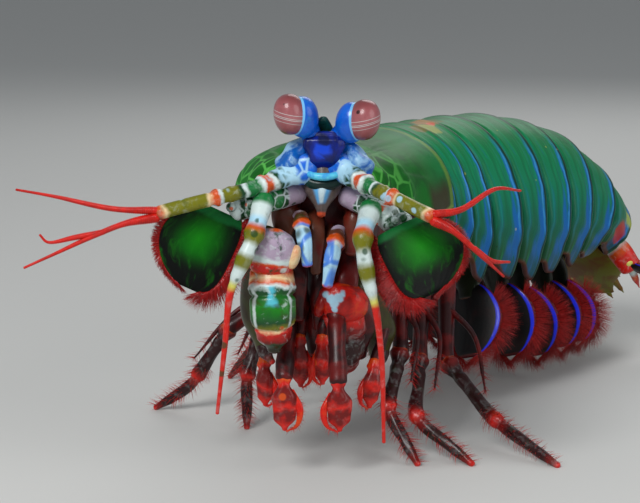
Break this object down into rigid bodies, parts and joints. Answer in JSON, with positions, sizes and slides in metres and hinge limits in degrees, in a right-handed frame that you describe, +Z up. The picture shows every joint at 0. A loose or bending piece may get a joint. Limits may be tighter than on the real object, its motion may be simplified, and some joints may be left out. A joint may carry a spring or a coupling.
{
  "type": "peacock mantis shrimp",
  "caption": "Life-size still model of a peacock mantis shrimp standing on its walking legs, its body raised and its tail held low.",
  "frame": {"origin": "centre of the bounding box in plan, at the level of the floor under the feet", "axes": "+Z up. The face looks toward -Y and the body trails away toward +X and +Y. -X is the animal's right side at the head."},
  "size_m": [0.1182, 0.127, 0.0592],
  "materials": {
    "carapace_shell": "green shell",
    "body_shell": "teal-green shell with blue stripes",
    "blue_shell": "deep blue shell",
    "cornea": "dusty pink, glossy",
    "banded_limb": "olive, white and orange bands",
    "red_feeler": "bright red",
    "paddle": "green with a red fringe",
    "mouth_shell": "pale blue and brown",
    "club": "green, white and red",
    "arm": "dark olive",
    "hand": "translucent red",
    "leg": "dark maroon with red joints",
    "underside": "brownish red",
    "swimmer": "near black with blue edges and a red fringe",
    "tail": "olive, yellow and red"
  },
  "bodies": {
    "root": {"carapace": "carapace_shell", "rostral_plate": "blue_shell", "thorax_core": "underside", "thoracic_somite_6": "body_shell", "thoracic_somite_7": "body_shell", "thoracic_somite_8": "body_shell", "abdomen_1": "body_shell", "abdomen_2": "body_shell", "abdomen_3": "body_shell", "abdomen_4": "body_shell", "abdomen_5": "body_shell", "abdomen_6": "body_shell", "telson": "tail", "eye_base": "blue_shell", "face": "blue_shell", "epistome": "mouth_shell", "eyestalk_right": "blue_shell", "eye_right": "cornea", "antennule_right": "banded_limb", "antennule_flagella_right": "red_feeler", "antenna_base_right": "banded_limb", "antennal_scale_right": "paddle", "antenna_right": "banded_limb", "eyestalk_left": "blue_shell", "eye_left": "cornea", "antennule_left": "banded_limb", "antennule_flagella_left": "red_feeler", "antenna_base_left": "banded_limb", "antennal_scale_left": "paddle", "antenna_left": "banded_limb", "maxilliped_1_right": "mouth_shell", "raptorial_arm_right": "arm", "raptorial_claw_right": "club", "maxilliped_3_right": "hand", "maxilliped_4_right": "hand", "maxilliped_5_right": "hand", "maxilliped_1_left": "mouth_shell", "raptorial_arm_left": "arm", "raptorial_claw_left": "club", "maxilliped_3_left": "hand", "maxilliped_4_left": "hand", "maxilliped_5_left": "hand", "leg_1_right": "leg", "leg_2_right": "leg", "leg_3_right": "leg", "leg_1_left": "leg", "leg_2_left": "leg", "leg_3_left": "leg", "pleopod_1_right": "swimmer", "pleopod_2_right": "swimmer", "pleopod_3_right": "swimmer", "pleopod_4_right": "swimmer", "pleopod_5_right": "swimmer", "uropod_right": "tail", "pleopod_1_left": "swimmer", "pleopod_2_left": "swimmer", "pleopod_3_left": "swimmer", "pleopod_4_left": "swimmer", "pleopod_5_left": "swimmer", "uropod_left": "tail"}
  },
  "joints": []
}
